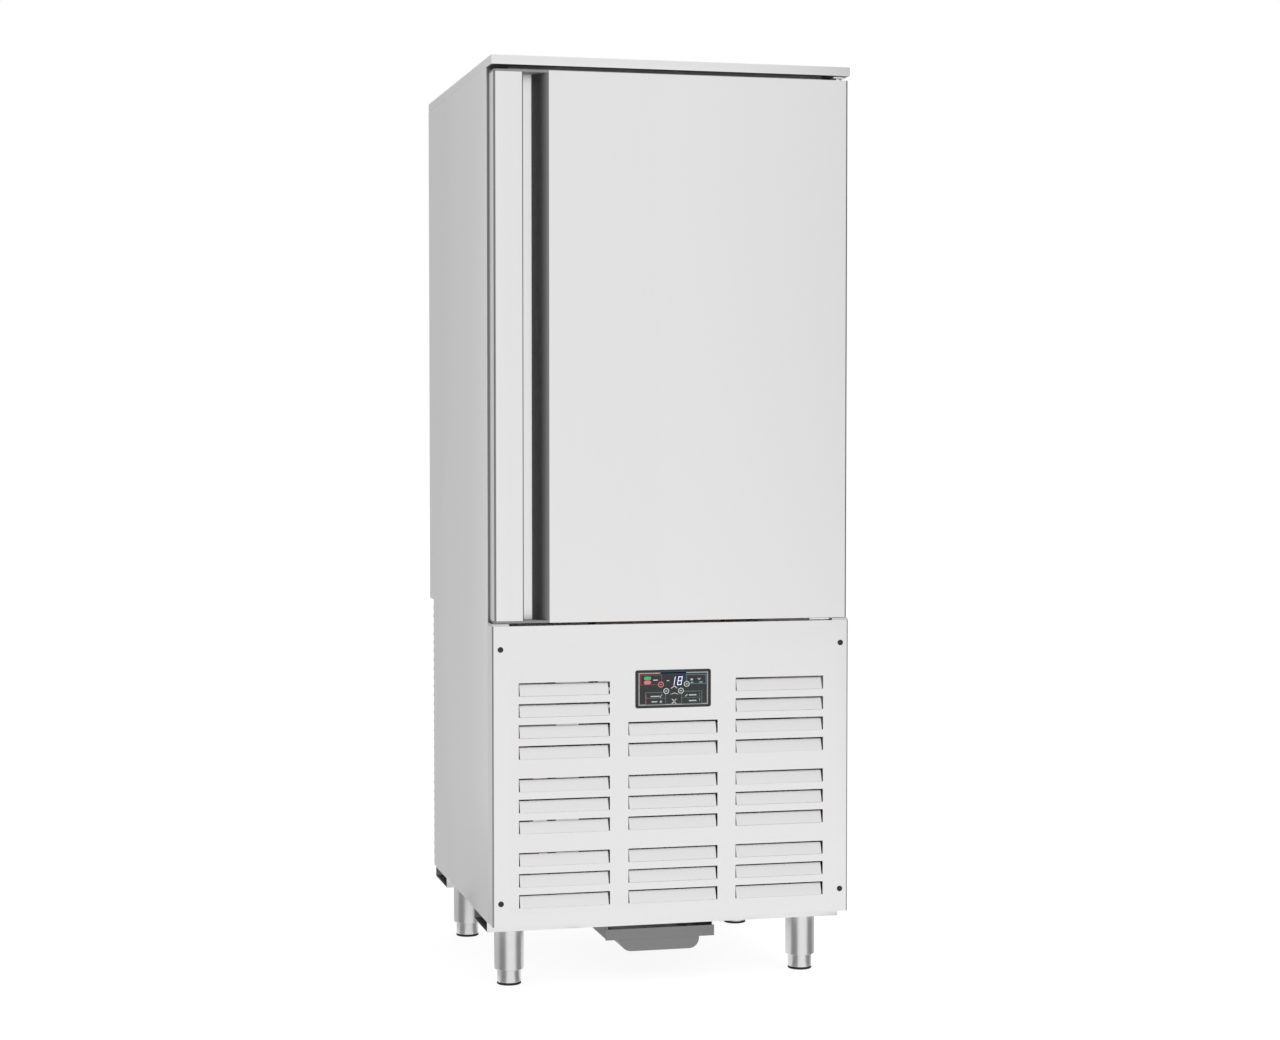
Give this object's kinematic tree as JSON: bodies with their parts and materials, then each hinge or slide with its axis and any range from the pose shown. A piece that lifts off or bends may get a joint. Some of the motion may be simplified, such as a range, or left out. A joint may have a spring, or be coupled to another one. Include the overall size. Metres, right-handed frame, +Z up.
{
  "type": "blast chiller",
  "caption": "Upright stainless blast chiller: insulated cabinet with a full-height handle door, tray rack and fans over a louvred machine compartment on adjustable legs.",
  "frame": {"origin": "on the floor, under the middle of the bounding box", "axes": "+X to the right seen from the front, +Y to the back (the door is at -Y), +Z up"},
  "size_m": [0.8, 0.848, 2.02],
  "materials": {
    "outer_steel": "satin stainless sheet, very fine grain",
    "liner_steel": "bright stainless sheet",
    "tray_steel": "dull stainless sheet, in shade",
    "leg_steel": "brushed stainless tube with a black rubber pad under it",
    "wire_steel": "polished stainless wire",
    "hinge_steel": "polished steel",
    "zinc_sheet": "galvanised sheet",
    "fin_aluminium": "plain aluminium fins",
    "foam": "rigid polyurethane foam",
    "grey_plastic": "grey moulded plastic",
    "black_plastic": "black moulded plastic",
    "black_gloss": "glossy black film",
    "black_metal": "black enamel",
    "grey_metal": "grey enamel",
    "white_metal": "white enamel",
    "blue_metal": "blue enamel",
    "rubber": "black rubber",
    "copper": "bare copper tube",
    "brass": "bare brass"
  },
  "bodies": {
    "cabinet": {"top_slab": "outer_steel", "cabinet_top_skin": "zinc_sheet", "cabinet_bottom_skin": "zinc_sheet", "side_skin_left": "outer_steel", "side_skin_right": "outer_steel", "rear_skin": "outer_steel", "cabinet_foam": "foam", "inner_liner": "liner_steel", "thermal_break_frame": "grey_plastic", "hinge_bracket_top": "hinge_steel", "hinge_bracket_bottom": "hinge_steel", "base_channels": "outer_steel", "machine_floor": "zinc_sheet", "corner_posts": "zinc_sheet", "front_cover": "outer_steel", "front_cover_screws": "black_metal", "rear_grille": "outer_steel", "cabinet_screws": "hinge_steel", "cable_gland": "black_plastic", "leg_sleeves": "leg_steel", "rack_uprights": "liner_steel", "tray_runners": "wire_steel", "evaporator_coil": "fin_aluminium", "drain_pan": "liner_steel", "drain_pipe": "black_plastic", "fan_panel": "liner_steel", "fan_guards": "wire_steel", "evaporator_fan_motors": "black_metal", "compressor": "black_metal", "compressor_mounts": "rubber", "condenser_coil": "fin_aluminium", "condenser_shroud": "black_metal", "condenser_fan_motor": "grey_metal", "liquid_receiver": "black_metal", "filter_drier": "blue_metal", "refrigerant_pipes": "copper", "expansion_valve": "brass", "electrical_box": "white_metal", "control_housing": "black_plastic", "control_overlay": "black_gloss", "tray_rails": "tray_steel"},
    "door": {"door_outer_skin": "outer_steel", "handle_profile": "outer_steel", "handle_end_caps": "grey_plastic", "door_foam": "foam", "door_inner_skin": "liner_steel", "door_gasket": "rubber", "hinge_bushes": "black_plastic"},
    "drip_tray": {"drip_tray": "tray_steel"},
    "evaporator_fan_upper": {"evaporator_fan_upper": "black_plastic"},
    "evaporator_fan_lower": {"evaporator_fan_lower": "black_plastic"},
    "condenser_fan": {"condenser_fan": "black_plastic"},
    "key_start": {"key_start": "black_gloss"},
    "key_light": {"key_light": "black_gloss"},
    "key_up": {"key_up": "black_gloss"},
    "key_down": {"key_down": "black_gloss"},
    "foot_front_left": {"foot_front_left": "leg_steel"},
    "foot_front_right": {"foot_front_right": "leg_steel"},
    "foot_rear_left": {"foot_rear_left": "leg_steel"},
    "foot_rear_right": {"foot_rear_right": "leg_steel"}
  },
  "joints": [
    {"name": "door_hinge", "type": "hinge", "parent": "cabinet", "child": "door", "pos_m": [0.379, -0.398, 0.8105], "axis": [0, 0, 1], "range_deg": [0, 110]},
    {"name": "drip_tray_slide", "type": "slide", "parent": "cabinet", "child": "drip_tray", "axis": [0, -1, 0], "range_m": [0, 0.35]},
    {"name": "evaporator_fan_upper_spin", "type": "hinge", "parent": "cabinet", "child": "evaporator_fan_upper", "pos_m": [0, 0.1535, 1.6745], "axis": [0, 1, 0], "continuous": true},
    {"name": "evaporator_fan_lower_spin", "type": "hinge", "parent": "cabinet", "child": "evaporator_fan_lower", "pos_m": [0, 0.1535, 1.1745], "axis": [0, 1, 0], "continuous": true},
    {"name": "condenser_fan_spin", "type": "hinge", "parent": "cabinet", "child": "condenser_fan", "pos_m": [0.07, -0.2215, 0.368], "axis": [0, 1, 0], "continuous": true},
    {"name": "key_start_press", "type": "slide", "parent": "cabinet", "child": "key_start", "axis": [0, 1, 0], "range_m": [0, 0.0006], "stiffness_N_per_m": 3000},
    {"name": "key_light_press", "type": "slide", "parent": "cabinet", "child": "key_light", "axis": [0, 1, 0], "range_m": [0, 0.0006], "stiffness_N_per_m": 3000},
    {"name": "key_up_press", "type": "slide", "parent": "cabinet", "child": "key_up", "axis": [0, 1, 0], "range_m": [0, 0.0006], "stiffness_N_per_m": 3000},
    {"name": "key_down_press", "type": "slide", "parent": "cabinet", "child": "key_down", "axis": [0, 1, 0], "range_m": [0, 0.0006], "stiffness_N_per_m": 3000},
    {"name": "foot_front_left_thread", "type": "slide", "parent": "cabinet", "child": "foot_front_left", "axis": [0, 0, 1], "range_m": [-0.02, 0.02]},
    {"name": "foot_front_right_thread", "type": "slide", "parent": "cabinet", "child": "foot_front_right", "axis": [0, 0, 1], "range_m": [-0.02, 0.02]},
    {"name": "foot_rear_left_thread", "type": "slide", "parent": "cabinet", "child": "foot_rear_left", "axis": [0, 0, 1], "range_m": [-0.02, 0.02]},
    {"name": "foot_rear_right_thread", "type": "slide", "parent": "cabinet", "child": "foot_rear_right", "axis": [0, 0, 1], "range_m": [-0.02, 0.02]}
  ]
}
